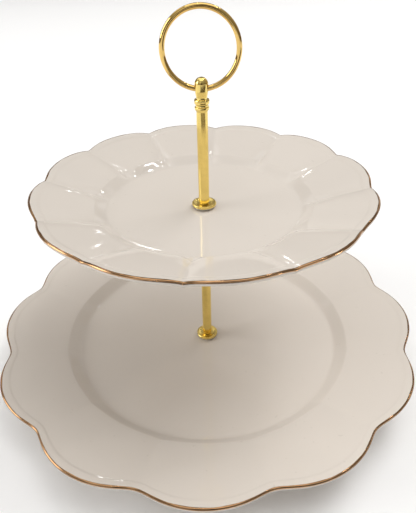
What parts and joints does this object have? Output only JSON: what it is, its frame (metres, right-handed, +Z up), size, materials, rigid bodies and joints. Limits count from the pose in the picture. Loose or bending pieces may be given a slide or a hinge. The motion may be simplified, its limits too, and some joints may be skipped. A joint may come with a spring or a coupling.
{
  "type": "tiered cake stand",
  "caption": "Tiered cake stand: scalloped white china plates with a gilt edge, one over the other on a slim gold post topped by a ring handle.",
  "frame": {"origin": "on the post's axis, in the plane that the lower plate's foot ring stands on", "axes": "+Z up along the post, -Y the front that the ring handle faces, +X to the viewer's right"},
  "size_m": [0.266, 0.266, 0.2142],
  "materials": {
    "china": "glossy glaze",
    "gold_metal": "polished gold plate",
    "zinc_steel": "satin zinc",
    "soft_washer": "matte"
  },
  "bodies": {
    "lower_plate": {"lower_plate": "china"},
    "post": {"base_screw": "zinc_steel", "base_washer": "zinc_steel", "base_gasket": "soft_washer", "lower_gasket": "soft_washer", "lower_flange": "gold_metal", "lower_rod": "gold_metal", "support_flange": "gold_metal", "support_gasket": "soft_washer", "joining_stud": "zinc_steel", "upper_gasket": "soft_washer", "upper_flange": "gold_metal", "upper_rod": "gold_metal", "top_stud": "zinc_steel"},
    "upper_plate": {"upper_plate": "china"},
    "knob": {"ring_knob": "gold_metal"},
    "ring": {"handle_ring": "gold_metal"}
  },
  "joints": [
    {"name": "post_turn", "type": "hinge", "parent": "lower_plate", "child": "post", "pos_m": [0, 0, 0.01], "axis": [0, 0, 1], "continuous": true},
    {"name": "upper_plate_turn", "type": "hinge", "parent": "post", "child": "upper_plate", "pos_m": [0, 0, 0.109], "axis": [0, 0, 1], "continuous": true},
    {"name": "knob_turn", "type": "hinge", "parent": "post", "child": "knob", "pos_m": [0, 0, 0.1679], "axis": [0, 0, 1], "range_deg": [0, 90]},
    {"name": "ring_swing", "type": "hinge", "parent": "knob", "child": "ring", "pos_m": [0, 0, 0.1756], "axis": [1, 0, 0], "range_deg": [-170, 170]}
  ]
}
